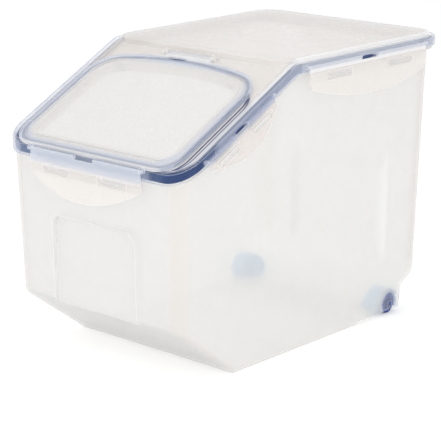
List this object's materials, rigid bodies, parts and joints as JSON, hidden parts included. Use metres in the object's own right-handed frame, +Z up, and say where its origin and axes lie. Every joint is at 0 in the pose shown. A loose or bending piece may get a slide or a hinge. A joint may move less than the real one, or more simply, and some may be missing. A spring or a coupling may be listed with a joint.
{
  "type": "rice storage bin",
  "caption": "Wheeled rice storage bin with a drafted tub, folded sealing lid, sloping flip lid and snap-down locking clips.",
  "frame": {"origin": "on the floor, in the bin's left-right symmetry plane, midway between the outer faces of the front and rear clips", "axes": "+Z up, +Y from the sloping front to the rear, +X to the right of somebody standing behind the bin and facing the same way as +Y"},
  "size_m": [0.2378, 0.375, 0.2654],
  "materials": {
    "tub_plastic": "frosted translucent polypropylene",
    "lid_plastic": "frosted translucent polypropylene, polished band",
    "flip_plastic": "frosted translucent polypropylene",
    "clip_plastic": "translucent polypropylene",
    "gasket_silicone": "navy silicone, satin",
    "wheel_plastic": "navy moulded plastic",
    "axle_plastic": "dark navy moulded plastic"
  },
  "bodies": {
    "bin": {"body": "tub_plastic", "main_lid": "lid_plastic", "main_gasket": "gasket_silicone", "axle_left": "axle_plastic", "axle_right": "axle_plastic"},
    "flip_lid": {"flip_lid": "flip_plastic", "flip_gasket": "gasket_silicone"},
    "front_clip": {"front_clip": "clip_plastic"},
    "rear_clip": {"rear_clip": "clip_plastic"},
    "slope_clip_left": {"slope_clip_left": "clip_plastic"},
    "slope_clip_right": {"slope_clip_right": "clip_plastic"},
    "flat_clip_left": {"flat_clip_left": "clip_plastic"},
    "flat_clip_right": {"flat_clip_right": "clip_plastic"},
    "wheel_left": {"wheel_left": "wheel_plastic"},
    "wheel_right": {"wheel_right": "wheel_plastic"}
  },
  "joints": [
    {"name": "flip_lid_hinge", "type": "hinge", "parent": "bin", "child": "flip_lid", "pos_m": [0, -0.04921, 0.25858], "axis": [-1, 0, 0], "range_deg": [0, 125]},
    {"name": "front_clip_hinge", "type": "hinge", "parent": "flip_lid", "child": "front_clip", "pos_m": [0, -0.1806, 0.189], "axis": [-1, 0, 0], "range_deg": [0, 110]},
    {"name": "rear_clip_hinge", "type": "hinge", "parent": "bin", "child": "rear_clip", "pos_m": [0, 0.1806, 0.2574], "axis": [1, 0, 0], "range_deg": [0, 110]},
    {"name": "slope_clip_right_hinge", "type": "hinge", "parent": "bin", "child": "slope_clip_right", "pos_m": [0.112, -0.10887, 0.2189], "axis": [0, -0.8893, -0.4573], "range_deg": [0, 110]},
    {"name": "slope_clip_left_hinge", "type": "hinge", "parent": "bin", "child": "slope_clip_left", "pos_m": [-0.112, -0.10887, 0.2189], "axis": [0, 0.8893, 0.4573], "range_deg": [0, 110]},
    {"name": "flat_clip_right_hinge", "type": "hinge", "parent": "bin", "child": "flat_clip_right", "pos_m": [0.112, 0.0606, 0.2574], "axis": [0, -1, 0], "range_deg": [0, 110]},
    {"name": "flat_clip_left_hinge", "type": "hinge", "parent": "bin", "child": "flat_clip_left", "pos_m": [-0.112, 0.0606, 0.2574], "axis": [0, 1, 0], "range_deg": [0, 110]},
    {"name": "wheel_right_spin", "type": "hinge", "parent": "bin", "child": "wheel_right", "pos_m": [0.08743, 0.1196, 0.0103], "axis": [1, 0, 0], "continuous": true},
    {"name": "wheel_left_spin", "type": "hinge", "parent": "bin", "child": "wheel_left", "pos_m": [-0.08743, 0.1196, 0.0103], "axis": [1, 0, 0], "continuous": true}
  ]
}
